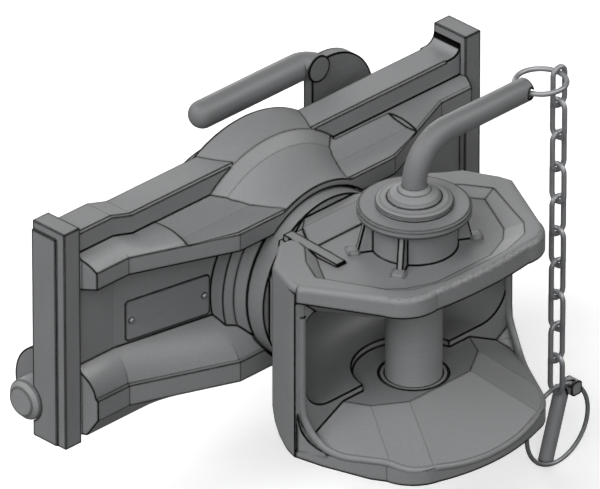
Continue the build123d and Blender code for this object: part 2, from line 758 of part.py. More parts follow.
def coupling_pin():
    seat = shoulder_z()
    pin = turned([(0, pin_low_z), (pin_r - 4, pin_low_z), (pin_r, pin_low_z + 5), (pin_r, seat),
                  (shoulder_r, seat), (shoulder_r, seat + 1), (shoulder_top_r, seat + shoulder_thick),
                  (cone_r, seat + shoulder_thick + 1.5), (rod_r, seat + shoulder_thick + cone_thick),
                  (0, seat + shoulder_thick + cone_thick)])
    pin -= cylinder_z(rod_r, seat + shoulder_thick, rod_z)
    return pin - cylinder_x(linch_hole_r, -2 * pin_r, 2 * pin_r, 0, linch_hole_z)


def pin_handle():
    start = (0, 0, shoulder_z() + shoulder_thick)
    bend = (0, 0, rod_z - rod_bend_r)
    middle = (rod_bend_r * (1 - cos(pi / 4)), 0, rod_z - rod_bend_r * (1 - sin(pi / 4)))
    after = (rod_bend_r, 0, rod_z)
    path = Wire([Line(start, bend), ThreePointArc(bend, middle, after),
                 Line(after, (rod_end_x, 0, rod_z))])
    rod = sweep(Plane(start) * Circle(rod_r), path=path)
    end = rod.edges().filter_by(GeomType.CIRCLE).sort_by(Axis.X)[-1]
    rod = chamfer(end, 1.5)
    return rod - cylinder_y(ring_hole_r, -2 * rod_r, 2 * rod_r, ring_hole_x(), rod_z)


def ring_hole_x():
    """Hole's centre, midway across the ring's bow inside the rod."""
    bow = ring_mid_r - sqrt(ring_mid_r ** 2 - rod_r ** 2)
    return ring_x - ring_mid_r + bow / 2


def split_ring():
    return Pos(ring_x, 0, rod_z) * Torus(ring_mid_r, ring_wire_r)


# Chain and linch pin

def chain_x():
    return ring_x + ring_mid_r


def link_half():
    """From a link's centre to its end wire's centre."""
    return (link_pitch + link_gap + link_wire) / 2


def first_link_z():
    return rod_z + ring_wire_r + link_wire / 2 + link_gap - link_half()


def chain_link(number):
    bend_r = (link_wide - link_wire) / 2
    straight = link_half() - bend_r
    upper = ThreePointArc((-bend_r, straight), (0, straight + bend_r), (bend_r, straight))
    lower = ThreePointArc((bend_r, -straight), (0, -straight - bend_r), (-bend_r, -straight))
    path = Plane.XZ * Wire([Line((-bend_r, -straight), (-bend_r, straight)), upper,
                            Line((bend_r, straight), (bend_r, -straight)), lower])
    section = Plane((-bend_r, 0, 0)) * Circle(link_wire / 2)
    link = sweep(section, path=path)
    turn = 0 if number % 2 == 0 else 90
    return Pos(chain_x(), 0, first_link_z() - number * link_pitch) * Rot(0, 0, turn) * link


def linch_ring_plane():
    """Ring's plane, tipped so that the ring lies beside the pin's tip."""
    last_wire_z = first_link_z() - (link_count - 1) * link_pitch - link_half()
    top_z = last_wire_z + link_wire / 2 + linch_ring_wire_r + link_gap
    return Plane((chain_x() + 1.2, 0, top_z - linch_ring_r), x_dir=(1, 0, 0), z_dir=(0, -1, 0))


def linch_ring():
    return linch_ring_plane() * Torus(linch_ring_r, linch_ring_wire_r)


def linch_pin():
    along = Vector(linch_tip_x - linch_top_x, 0, linch_tip_z - linch_top_z)
    offset_y = linch_r + linch_ring_wire_r + swivel_gap
    shank = extrude(Plane((linch_top_x, offset_y, linch_top_z), z_dir=along) * Circle(linch_r),
                    along.length)
    tip = shank.edges().filter_by(GeomType.CIRCLE).sort_by(Axis.Z)[0]
    shank = chamfer(tip, linch_tip_chamfer)
    centre = linch_ring_plane().origin
    eye_x = centre.X + linch_ring_r * cos(radians(linch_head_turn))
    eye_z = centre.Z + linch_ring_r * sin(radians(linch_head_turn)) - 1
    half_high = linch_head_wide / 2
    far_x = eye_x + 2 * linch_ring_wire_r
    head = block(far_x - linch_head_reach, far_x, -2 * linch_ring_wire_r, offset_y,
                 eye_z - half_high, eye_z + half_high)
    head = fillet(head.edges().filter_by(Axis.Y), half_high / 2)
    eye = linch_ring_plane() * Torus(linch_ring_r, linch_ring_wire_r + linch_eye_gap)
    return shank + head - eye


def main():
    save(frame_casting(), "frame_casting")
    save(guide_rail(-1), "guide_rail_left")
    save(guide_rail(1), "guide_rail_right")
    save(swivel_bush(shaft_r, front_bush_y), "front_swivel_bush")
    save(swivel_bush(rear_shaft_r, rear_bush_y), "rear_swivel_bush")
    save(thrust_washer(), "thrust_washer")
    save(lever_retaining_ring(), "lever_retaining_ring")
    save(nameplate(), "nameplate")
    save(nameplate_rivets(), "nameplate_rivets")
    save(lever_plate(), "lever_plate")
    save(lever_rod_solid(), "lever_handle")
    for side, name in ((-1, "left"), (1, "right")):
        save(locking_bolt(side), f"locking_bolt_{name}")
        save(drive_pin(side), f"drive_pin_{name}")
    save(jaw_casting(), "jaw_casting")
    save(disc_spring(), "disc_spring")
    save(swivel_nut(), "swivel_nut")
    save(cotter_pin(), "cotter_pin")
    save(pin_bush(plate_low_z, pin_boss_top_z), "upper_pin_bush")
    save(pin_bush(low_boss_z, mouth_low_z), "lower_pin_bush")
    save(pin_disc(), "pin_disc")
    save(coupling_pin(), "coupling_pin")
    save(pin_handle(), "pin_handle")
    save(split_ring(), "split_ring")
    for number in range(link_count):
        save(chain_link(number), f"chain_link_{number + 1:02d}")
    save(linch_ring(), "linch_ring")
    save(linch_pin(), "linch_pin")


main()
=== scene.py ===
import json
from math import cos, pi, radians, sin

import bmesh
import bpy
from mathutils import Matrix, Vector


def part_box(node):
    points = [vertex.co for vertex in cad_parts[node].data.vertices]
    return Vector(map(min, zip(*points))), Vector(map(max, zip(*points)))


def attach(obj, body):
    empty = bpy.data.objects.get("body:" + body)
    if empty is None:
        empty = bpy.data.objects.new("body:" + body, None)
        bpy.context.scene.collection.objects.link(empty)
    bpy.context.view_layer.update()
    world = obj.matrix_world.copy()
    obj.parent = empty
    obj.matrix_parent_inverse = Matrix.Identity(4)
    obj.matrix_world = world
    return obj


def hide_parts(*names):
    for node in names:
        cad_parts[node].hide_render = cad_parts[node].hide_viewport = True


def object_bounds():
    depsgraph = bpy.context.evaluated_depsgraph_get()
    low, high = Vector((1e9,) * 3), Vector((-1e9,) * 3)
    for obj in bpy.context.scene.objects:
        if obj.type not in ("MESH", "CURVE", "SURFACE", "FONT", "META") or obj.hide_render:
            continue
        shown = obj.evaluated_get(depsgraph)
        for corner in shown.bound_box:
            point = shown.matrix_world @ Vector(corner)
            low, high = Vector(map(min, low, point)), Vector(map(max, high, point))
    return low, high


bl_info = {
    "name": "Trailer coupler",
    "version": (1, 0, 0),
    "blender": (4, 5, 0),
    "location": "3D View > Sidebar > Coupler",
    "description": "Dresses a tractor's trailer coupler: castings, lever, coupling pin, chain and studio",
    "category": "Object",
}

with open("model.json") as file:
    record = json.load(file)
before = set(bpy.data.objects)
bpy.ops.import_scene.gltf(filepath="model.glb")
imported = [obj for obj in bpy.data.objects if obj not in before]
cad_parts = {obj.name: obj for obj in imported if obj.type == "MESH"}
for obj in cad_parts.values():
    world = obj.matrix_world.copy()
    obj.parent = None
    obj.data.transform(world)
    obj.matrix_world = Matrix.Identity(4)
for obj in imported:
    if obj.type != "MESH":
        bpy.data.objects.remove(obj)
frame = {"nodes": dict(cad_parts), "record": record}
CAD_LOW, CAD_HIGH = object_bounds()

MM = 0.001
MERGE = 0.002 * MM            # closer than this, two points of a CAD mesh are one
PLACE_PLAY = 1.2 * MM         # how far a piece's box may differ from its node's
CHAIN_LINKS = 10

# Shading: specular levels, and millimetres in from an edge
CAST_GLEAM = 0.45
STEEL_GLEAM = 0.25
EDGE_LINE = 2.2               # half the width of the dark line along an edge
CAST_ROUND = 3.2              # how far a casting's edge is shaded round and given a painted highlight
STEEL_ROUND = 1.4             # the same, for the other steels
PRIMER_IOR = 1.45             # of the paint over a steel

# Degrees between two faces
FLAT = 0.4                    # triangles of a CAD mesh that lie flatter than this are one face
CAST_SEAM = 10.5              # a casting's sharper seams stay crisp
STEEL_SEAM = 26.0             # the same, for machined and bent pieces
BOLT_SEAM = 18.0
PIN_SEAM = 12.0
FOOT_SEAM = 35.0
BEAD_SEAM = 40.0
BROKEN_EDGE = 40.0            # sharper edges of machined pieces are broken


# Sizes and colours that a user would change

def length(label, about, millimetres):
    return bpy.props.FloatProperty(name=label, description=about, default=millimetres * MM, min=0.0,
                                   unit="LENGTH", subtype="DISTANCE")


def colour(label, about, text):
    return bpy.props.StringProperty(name=label, description=about, default=text)


class CouplerCastingSizes(bpy.types.PropertyGroup):
    edge: length("Machined edge", "Broken edge of rails, nut and plates", 0.3)


class CouplerPinSizes(bpy.types.PropertyGroup):
    radius: length("Pin radius", "Coupling pin where the drawbar eye sits", 16.0)
    low_z: length("Pin drop", "Pin's lower end below the swivel axis", 90.0)
    seat_z: length("Seat height", "Underside of the pin's shoulder", 75.55)
    shoulder_r: length("Shoulder radius", "Pin's shoulder on its disc", 22.0)
    shoulder_high: length("Shoulder height", "Thickness of the shoulder", 4.0)
    cone_r: length("Cone radius", "Foot of the cone round the handle", 14.1)
    cone_high: length("Cone height", "Height of that cone", 8.4)
    hole_r: length("Linch hole", "Hole near the pin's lower end", 5.0)
    hole_z: length("Hole drop", "Hole's centre below the swivel axis", 80.0)
    rod_r: length("Handle radius", "Round bar of the pin's handle", 7.0)
    rod_z: length("Handle height", "Level part of the handle", 113.0)
    rod_bend: length("Handle bend", "Bend radius at the bar's middle", 25.0)
    rod_end_x: length("Handle reach", "Free end of the handle", 89.0)
    ring_hole_r: length("Ring hole", "Hole for the split ring", 3.1)


class CouplerLeverSizes(bpy.types.PropertyGroup):
    handle_r: length("Lever handle radius", "Round bar of the lever's handle", 8.2)
    handle_y: length("Handle depth", "Bar's middle behind the pin", 160.0)
    handle_z: length("Lever handle height", "Bar's middle above the swivel axis", 70.5)
    tip_x: length("Handle tip", "Free end, to the left of the pin", 14.5)
    bend_x: length("Bend start", "Where the bar starts to turn", 67.5)
    bend_r: length("Bend radius", "Bend radius at the bar's middle", 8.6)
    stub: length("Stub", "Straight end let into the plate", 1.5)
    bolt_r: length("Bolt radius", "Locking bolt", 12.0)
    bolt_inner_x: length("Bolt inner end", "From the middle plane", 56.0)
    bolt_outer_x: length("Bolt outer end", "From the middle plane", 168.5)
    bolt_nose: length("Bolt chamfer", "Chamfer of the bolt's nose", 3.4)
    bolt_y: length("Bolt depth", "Bolt's axis behind the pin", 140.0)
    bolt_z: length("Bolt drop", "Bolt's axis below the swivel axis", 40.0)
    drive_r: length("Drive pin radius", "Pin from the bolt into the lever's slot", 5.0)
    drive_x: length("Drive pin place", "From the middle plane", 66.0)


class CouplerChainSizes(bpy.types.PropertyGroup):
    ring_r: length("Split ring radius", "To the wire's middle", 14.5)
    ring_wire: length("Split ring wire", "Wire's radius", 1.5)
    ring_x: length("Split ring place", "Ring's centre", 99.6)
    wire_r: length("Link wire", "Wire's radius", 1.55)
    pitch: length("Pitch", "From link to link", 20.6)
    gap: length("Link play", "Gap between two links' wires", 0.25)
    width: length("Link width", "Over both sides of a link", 12.4)
    linch_ring_r: length("Linch ring radius", "To the wire's middle", 24.5)
    linch_wire: length("Linch ring wire", "Wire's radius", 1.3)
    head_edge: length("Linch edges", "Broken edge of the linch pin", 0.35)


class CouplerColours(bpy.types.PropertyGroup):
    casting: colour("Castings", "Grey primer on cast steel, sRGB hex", "#767778")
    machined: colour("Machined steel", "Grey primer on machined steel, sRGB hex", "#777879")
    ground: colour("Ground steel", "Ground steel pins, sRGB hex", "#818283")
    bar: colour("Round bar", "Drawn steel bar, sRGB hex", "#6E6F70")
    wire: colour("Zinc wire", "Zinc plated wire, sRGB hex", "#8B8C8E")
    bronze: colour("Bronze", "Bearing bronze, sRGB hex", "#A5824F")
    plate: colour("Nameplate", "Anodised aluminium, sRGB hex", "#8D8E90")
    spring: colour("Springs", "Phosphated spring steel, sRGB hex", "#5E5F61")


# Rounded bead round the lower jaw's lip, in millimetres
BEAD_R = 2.1
BEAD_SUNK = 1.5
MOUTH_FLOOR = -33.0
JAW_SLOPES = ((-90.0, 20.5, 0.53), (-57.0, 30.2, 0.48), (-28.0, 41.4, 0.58))   # heading, start, fall
LIP_PLAN = ((0, -63.6), (14, -62.9), (27, -60.6), (38.5, -57.2), (46, -54.1), (51.5, -50.2),
            (55.5, -44.7), (58.2, -38), (64.7, -26.7), (71, -16))
BEAD_RISE = ((75.8, -8, -48.4), (78.6, -2, -43), (80.2, 3, -36), (80.9, 6.6, -27), (80.9, 6.8, 0),
             (80.9, 6.8, 34))

# Rounded feet of the boss's ribs: headings in degrees, sizes in millimetres
FOOT_HEADINGS = (30.5, 149.5, -30.5, -149.5)
FOOT_SIZE = (7.5, 9.0, 3.2)
FOOT_MIDDLE = (35.2, 0.0, 49.9)
FOOT_ROUND = 1.3

# Hollow between the hood's rim and the barrel, in millimetres: its outline in Y and Z, and the barrel
# that stays inside it as radius and Y
HOOD_BAND = ((113, 54.1), (104, 51.0), (94.6, 49.5), (85, 49.9), (74, 51.2), (74, 100), (113, 100))
HOOD_BARREL = ((0, 72), (56.5, 72), (56.6, 79), (57.6, 86), (59.4, 93), (62.0, 100), (65.6, 106.5),
               (72.2, 113.2), (80, 120), (80, 124), (0, 124))
HOOD_HALF = 90                # half the hollow's width
HOOD_STEPS = 180

# What the chamfers at the lower ribs' ends take away: plan, lower end and height, in millimetres
RIB_END = ((147.0, 96.0), (147.0, 99.5), (151.7, 109.0), (160, 109.0), (160, 96))
RIB_END_LOW = -60
RIB_END_HIGH = 50

# Broken edges of turned and bent pieces, in millimetres
BOLT_EDGE = 0.25
BOLT_INNER_CHAMFER = 1.0
DRIVE_EDGE = 0.6
PIN_EDGE = 0.25
PIN_TIP = (4.0, 5.0)          # width and height of the chamfer at the pin's lower end
SHOULDER_EDGE = (2.5, 1.6)    # the same, at the shoulder's top
CONE_FOOT = (1.2, 0.4, 2.4)   # step round the cone's foot: its width, its lower and its upper height
CONE_NECK = (2.4, 5.2)        # round the handle, where the cone steepens: width and height
ROD_CHAMFER = 1.5
ROD_EDGE = 0.4
RING_HOLE_BACK = 0.3          # from the middle of ring and bar end to the hole

# Studio: each lamp's name, level, heading from the object, and whether it only shows as a gleam
STUDIO_LAMPS = (("studio_softbox", 1.85, (-0.68, 0.0, 0.73), False),
                ("studio_fill", 1.45, (-0.61, -0.61, 0.5), False),
                ("studio_back", 1.3, (0.5, 0.85, 0.15), False),
                ("studio_gleam_right", 3.0, (0.61, -0.48, 0.59), True),
                ("studio_gleam_front", 3.0, (-0.04, -0.51, 0.83), True),
                ("studio_gleam_back", 2.5, (-0.48, 0.61, 0.59), True))
LAMP_ANGLE = 35               # degrees that a lamp fills in the sky
GLEAM_ANGLE = 25
FLOOR_HALF = 30.0             # metres
FLOOR_DROP = 0.5 * MM         # from the object's lowest point
CAMERA_AIM = (15.6, 104.9, 0.0)        # millimetres
CAMERA_WAY = (-0.6124, -0.6124, 0.5)   # from the aim to the camera
CAMERA_FAR = 9.3167           # metres
CAMERA_LENS = 1000.0          # millimetres


# Mesh helpers

def merged_copy(node):
    """CAD node's mesh as a bmesh with its loose triangles merged."""
    shape = bmesh.new()
    shape.from_mesh(frame["nodes"][node].data)
    bmesh.ops.remove_doubles(shape, verts=shape.verts, dist=MERGE)
    return shape


def lathe(profile, steps=72):
    """Solid of revolution about Z from (radius, height) points."""
    shape = bmesh.new()
    points = [shape.verts.new((radius, 0, height)) for radius, height in profile]
    lines = [shape.edges.new(pair) for pair in zip(points, points[1:])]
    bmesh.ops.spin(shape, geom=points + lines, axis=(0, 0, 1), cent=(0, 0, 0), angle=2 * pi,
                   steps=steps, use_merge=True)
    bmesh.ops.remove_doubles(shape, verts=shape.verts, dist=MERGE)
    bmesh.ops.recalc_face_normals(shape, faces=shape.faces)
    return shape


def soften(shape, width, segments=3, sharper_than=30.0):
    """Rounds every outer edge that is sharper than an angle, in degrees."""
    sharp = [edge for edge in shape.edges if len(edge.link_faces) == 2 and edge.is_convex
             and edge.calc_face_angle() > radians(sharper_than)]
    bmesh.ops.bevel(shape, geom=sharp, offset=width, affect="EDGES", segments=segments, profile=0.5,
                    material=-1, clamp_overlap=True)


def place(shape, x=0.0, y=0.0, z=0.0, turn=None):
    """Turns a shape about the origin and moves it, in metres."""
    if turn is not None:
        bmesh.ops.transform(shape, matrix=turn, verts=shape.verts)
    bmesh.ops.translate(shape, vec=Vector((x, y, z)), verts=shape.verts)


def bar_start(shape, centre, along, radius, segments=32):
    """Ring of edges that a bar is drawn from."""
    turn = Vector(along).to_track_quat("Z", "Y").to_matrix().to_4x4()
    made = bmesh.ops.create_circle(shape, segments=segments, radius=radius,
                                   matrix=Matrix.Translation(centre) @ turn)
    return sorted({edge for point in made["verts"] for edge in point.link_edges}, key=lambda e: e.index)


def bar_run(shape, ring, step, scale=1.0):
    """Draws the bar on by a step, scaled about its own middle."""
    made = bmesh.ops.extrude_edge_only(shape, edges=ring)["geom"]
    points = [part for part in made if isinstance(part, bmesh.types.BMVert)]
    bmesh.ops.translate(shape, vec=Vector(step), verts=points)
    if scale != 1.0:
        middle = sum((point.co for point in points), Vector()) / len(points)
        bmesh.ops.scale(shape, vec=(scale,) * 3, space=Matrix.Translation(-middle), verts=points)
    return [part for part in made if isinstance(part, bmesh.types.BMEdge)
            and all(point in points for point in part.verts)]


def bar_bend(shape, ring, centre, axis, angle, steps=16):
    """Bends the bar on about a centre."""
    points = list({point for edge in ring for point in edge.verts})
    made = bmesh.ops.spin(shape, geom=points + list(ring), cent=centre, axis=axis, angle=angle,
                          steps=steps)["geom_last"]
    return [part for part in made if isinstance(part, bmesh.types.BMEdge)]


def bar_end(shape, ring):
    """Closes a bar's end with one face."""
    bmesh.ops.contextual_create(shape, geom=list(ring))


def close_up(shape):
    """Merges points that meet and turns the faces outwards."""
    bmesh.ops.remove_doubles(shape, verts=shape.verts, dist=MERGE)
    bmesh.ops.recalc_face_normals(shape, faces=shape.faces)


def wire_ring(radius, wire, steps=96, segments=20):
    """Ring of round wire in the XY plane."""
    shape = bmesh.new()
    start = bar_start(shape, (radius, 0, 0), (0, 1, 0), wire, segments)
    points = list({point for edge in start for point in edge.verts})
    bmesh.ops.spin(shape, geom=points + start, cent=(0, 0, 0), axis=(0, 0, 1), angle=2 * pi,
                   steps=steps, use_merge=True)
    close_up(shape)
    return shape


def cylinder(radius, long, segments=32):
    """Cylinder about Z, its middle at the origin."""
    shape = bmesh.new()
    bmesh.ops.create_cone(shape, cap_ends=True, segments=segments, radius1=radius, radius2=radius,
                          depth=long)
    return shape


def new_object(shape, name):
    """Object in the scene with a shape's mesh."""
    mesh = bpy.data.meshes.new(name)
    shape.to_mesh(mesh)
    shape.free()
    made = bpy.data.objects.new(name, mesh)
    bpy.context.scene.collection.objects.link(made)
    return made


def bake_modifiers(piece):
    """Gives a piece the mesh that its modifiers make, and removes them."""
    graph = bpy.context.evaluated_depsgraph_get()
    mesh = bpy.data.meshes.new_from_object(piece.evaluated_get(graph))
    piece.modifiers.clear()
    old = piece.data
    piece.data = mesh
    bpy.data.meshes.remove(old)
    mesh.name = piece.name


def cut(piece, tool_shape):
    """Cuts a shape out of a piece."""
    cut_with(piece, new_object(tool_shape, "cutting_tool"))


def cut_with(piece, tool):
    """Cuts an object out of a piece and removes the object."""
    change = piece.modifiers.new("Hole", "BOOLEAN")
    change.operation = "DIFFERENCE"
    change.object = tool
    bake_modifiers(piece)
    old = tool.data
    bpy.data.objects.remove(tool)
    bpy.data.meshes.remove(old)


def smooth_shade(piece, sharper_than=STEEL_SEAM):
    """Smooth faces, with the edges that stay sharp marked."""
    shape = bmesh.new()
    shape.from_mesh(piece.data)
    for face in shape.faces:
        face.smooth = True
    for edge in shape.edges:
        edge.smooth = len(edge.link_faces) == 2 and edge.calc_face_angle() < radians(sharper_than)
    shape.to_mesh(piece.data)
    shape.free()


def dress(piece, body, slot, finish, *nodes):
    """Gives a piece its material and its body, checks that it sits where the nodes that it stands for are,
    and hides those nodes. The slot is not used.
    """
    if nodes:
        check_place(piece, nodes)
    piece.data.materials.clear()
    piece.data.materials.append(finish)
    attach(piece, body)
    if nodes:
        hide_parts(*nodes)


def check_place(piece, nodes):
    """Stops if a piece isn't where the CAD nodes that it stands for are."""
    boxes = [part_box(node) for node in nodes]
    for axis in range(3):
        made = [point.co[axis] for point in piece.data.vertices]
        low = min(box[0][axis] for box in boxes)
        high = max(box[1][axis] for box in boxes)
        if abs(min(made) - low) > PLACE_PLAY or abs(max(made) - high) > PLACE_PLAY:
            raise RuntimeError(f"{piece.name} is out of place along axis {axis}: {min(made):.4f} to "
                               f"{max(made):.4f}, not {low:.4f} to {high:.4f}")


def prism(points, along):
    """Solid drawn from a flat outline along a vector, in millimetres."""
    shape = bmesh.new()
    face = shape.faces.new([shape.verts.new(Vector(point) * MM) for point in points])
    made = bmesh.ops.extrude_face_region(shape, geom=[face], use_keep_orig=True)["geom"]
    moved = [part for part in made if isinstance(part, bmesh.types.BMVert)]
    bmesh.ops.translate(shape, vec=Vector(along) * MM, verts=moved)
    close_up(shape)
    return shape


def join_flats(shape):
    """Joins the triangles of each flat face."""
    bmesh.ops.dissolve_limit(shape, angle_limit=radians(FLAT), verts=shape.verts, edges=shape.edges)


def even_faces(piece):
    """Keeps flat faces flat under smooth shading, and gives the piece its final mesh."""
    even = piece.modifiers.new("Flat faces stay flat", "WEIGHTED_NORMAL")
    even.keep_sharp = True
    bake_modifiers(piece)
    return piece


def cast_copy(node, name, *tools):
    """Copy of a casting, cut by tools: curved faces smooth, flat faces flat, seams crisp."""
    piece = new_object(merged_copy(node), name)
    for tool in tools:
        cut_with(piece, tool)
    shape = bmesh.new()
    shape.from_mesh(piece.data)
    join_flats(shape)
    shape.to_mesh(piece.data)
    shape.free()
    smooth_shade(piece, CAST_SEAM)
    return even_faces(piece)


def machined_copy(node, name, edge):
    """Copy of a machined node with its edges broken."""
    shape = merged_copy(node)
    join_flats(shape)
    piece = new_object(shape, name)
    smooth_shade(piece)
    if edge:
        change = piece.modifiers.new("Broken edges", "BEVEL")
        change.width = edge
        change.segments = 2
        change.limit_method = "ANGLE"
        change.angle_limit = radians(BROKEN_EDGE)
    return even_faces(piece)


# Materials

def linear(text):
    """Linear colour from an sRGB hex value."""
    parts = [int(text[start:start + 2], 16) / 255 for start in (1, 3, 5)]
    return tuple(part / 12.92 if part <= 0.04045 else ((part + 0.055) / 1.055) ** 2.4
                 for part in parts) + (1.0,)


def shade(text, share):
    """The same colour, lighter or darker by a share."""
    return tuple(min(1.0, part * share) for part in linear(text)[:3]) + (1.0,)


def add_node(tree, kind, values=None, links=None, **settings):
    """Adds a node with its settings, its sockets' values and the links into it."""
    made = tree.nodes.new(kind)
    for name, value in settings.items():
        setattr(made, name, value)
    for socket, value in (values or {}).items():
        made.inputs[socket].default_value = value
    for socket, source in (links or {}).items():
        tree.links.new(source, made.inputs[socket])
    return made


def start_material(name, roughness, metallic, ior=None):
    """Material with a Principled shader, its output and object coordinates."""
    made = bpy.data.materials.new(name)
    made.use_nodes = True
    tree = made.node_tree
    tree.nodes.clear()
    shader = add_node(tree, "ShaderNodeBsdfPrincipled", {"Roughness": roughness, "Metallic": metallic})
    if ior is not None:
        shader.inputs["IOR"].default_value = ior
    add_node(tree, "ShaderNodeOutputMaterial", links={"Surface": shader.outputs["BSDF"]})
    where = add_node(tree, "ShaderNodeTexCoord").outputs["Object"]
    return made, tree, shader, where


def scale_for(millimetres):
    """Noise scale that gives grains of this size."""
    return 1.0 / (millimetres * MM)


def turned_share(tree, rounded, face):
    """How far a rounded normal agrees with the face's own, 1 where they are the same."""
    return add_node(tree, "ShaderNodeVectorMath", links={0: rounded.outputs["Normal"],
                                                         1: face.outputs["Normal"]},
                    operation="DOT_PRODUCT").outputs["Value"]


def edge_nodes(tree, rounding, shader, gleam):
    """Rounded normal of the edges, and a share of the colour: dark and without gleam along an edge's line,
    and a little lighter beside it, a painted highlight along the edge's rounding."""
    soft = add_node(tree, "ShaderNodeBevel", {"Radius": rounding * MM}, samples=6)
    fine = add_node(tree, "ShaderNodeBevel", {"Radius": EDGE_LINE * MM}, samples=8)
    face = add_node(tree, "ShaderNodeNewGeometry")
    line = add_node(tree, "ShaderNodeMapRange", {"From Min": 0.98, "From Max": 0.9989, "To Min": 0.02,
                                                 "To Max": 1.0}, {"Value": turned_share(tree, fine, face)})
    sheen = add_node(tree, "ShaderNodeMath", {1: gleam}, {0: line.outputs["Result"]},
                     operation="MULTIPLY")
    tree.links.new(sheen.outputs[0], shader.inputs["Specular IOR Level"])
    # Painted highlight: the colour is made up to a fifth lighter where the rounded normal bends, beside
    # each edge's dark line.
    painted_highlight = add_node(tree, "ShaderNodeMapRange", {"From Min": 0.90, "From Max": 0.995, "To Min": 1.2,
                                                "To Max": 1.0}, {"Value": turned_share(tree, soft, face)})
    both = add_node(tree, "ShaderNodeMath", links={0: line.outputs["Result"], 1: painted_highlight.outputs["Result"]},
                    operation="MULTIPLY")
    return soft.outputs["Normal"], both.outputs[0]


def spread(tree, noise, low, high):
    """Share that runs from low to high over a noise's usual range."""
    return add_node(tree, "ShaderNodeMapRange", {"From Min": 0.3, "From Max": 0.7, "To Min": low,
                                                 "To Max": high},
                    {"Value": noise.outputs["Fac"]}).outputs["Result"]


def two_tone(tree, text, low, high, noise):
    """Colour that drifts between a darker and a lighter share of itself."""
    tone = add_node(tree, "ShaderNodeMix", data_type="RGBA")
    tone.inputs[6].default_value = shade(text, low)
    tone.inputs[7].default_value = shade(text, high)
    tree.links.new(noise.outputs["Fac"], tone.inputs["Factor"])
    return tone.outputs[2]


def lay_on(tree, shader, tone, marks, dark, rough):
    """Gives the shader its colour, with marks, edge lines and painted edge highlights, and its roughness.
    """
    both = add_node(tree, "ShaderNodeMath", links={0: marks, 1: dark}, operation="MULTIPLY")
    final = add_node(tree, "ShaderNodeVectorMath", links={0: tone, "Scale": both.outputs[0]},
                     operation="SCALE")
    tree.links.new(final.outputs[0], shader.inputs["Base Color"])
    tree.links.new(rough, shader.inputs["Roughness"])


def relief(tree, shader, noise, normal, strength, millimetres):
    """Fine bump of a surface, laid on its rounded normal."""
    bump = add_node(tree, "ShaderNodeBump", {"Strength": strength, "Distance": millimetres * MM},
                    {"Height": noise.outputs["Fac"], "Normal": normal})
    tree.links.new(bump.outputs["Normal"], shader.inputs["Normal"])


def primed_casting(text):
    """Sand-cast steel under a thin grey primer: a fine gritty skin, faint flow marks, and a painted
    highlight a shade lighter beside the edges' dark lines. It reads as matt and slightly rough."""
    made, tree, shader, where = start_material("primed_cast_steel", 0.55, 0.0, PRIMER_IOR)
    # Grit of 0.4 mm is too fine to show, so it is drawn at 1.3 mm.
    grit = add_node(tree, "ShaderNodeTexNoise", {"Scale": scale_for(1.3), "Detail": 3.0,
                                                 "Roughness": 0.6}, {"Vector": where})
    # Flow marks and uneven primer, a few centimetres across.
    blotch = add_node(tree, "ShaderNodeTexNoise", {"Scale": scale_for(38.0), "Detail": 4.0,
                                                   "Roughness": 0.55}, {"Vector": where})
    normal, dark = edge_nodes(tree, CAST_ROUND, shader, CAST_GLEAM)
    lay_on(tree, shader, two_tone(tree, text, 0.93, 1.07, blotch), spread(tree, grit, 0.95, 1.05), dark,
           spread(tree, blotch, 0.48, 0.64))
    relief(tree, shader, grit, normal, 0.35, 0.12)
    return made


def streaked_steel(name, text, roughness, metallic, streak_mm, across, strength, ior=None):
    """Machined or drawn steel: fine parallel tool marks, drawn wide enough to show, and faint
    patches, which give a satin sheen along one direction."""
    made, tree, shader, where = start_material(name, roughness, metallic, ior)
    stretch = add_node(tree, "ShaderNodeMapping", {"Scale": across}, {"Vector": where})
    marks = add_node(tree, "ShaderNodeTexNoise", {"Scale": scale_for(streak_mm), "Detail": 2.0,
                                                  "Roughness": 0.5},
                     {"Vector": stretch.outputs["Vector"]})
    patch = add_node(tree, "ShaderNodeTexNoise", {"Scale": scale_for(22.0), "Detail": 3.0},
                     {"Vector": where})
    normal, dark = edge_nodes(tree, STEEL_ROUND, shader, STEEL_GLEAM)
    lay_on(tree, shader, two_tone(tree, text, 0.93, 1.08, patch), spread(tree, marks, 0.95, 1.05), dark,
           spread(tree, marks, roughness - 0.07, roughness + 0.07))
    relief(tree, shader, marks, normal, strength, 0.05)
    return made


FINISHES = {}


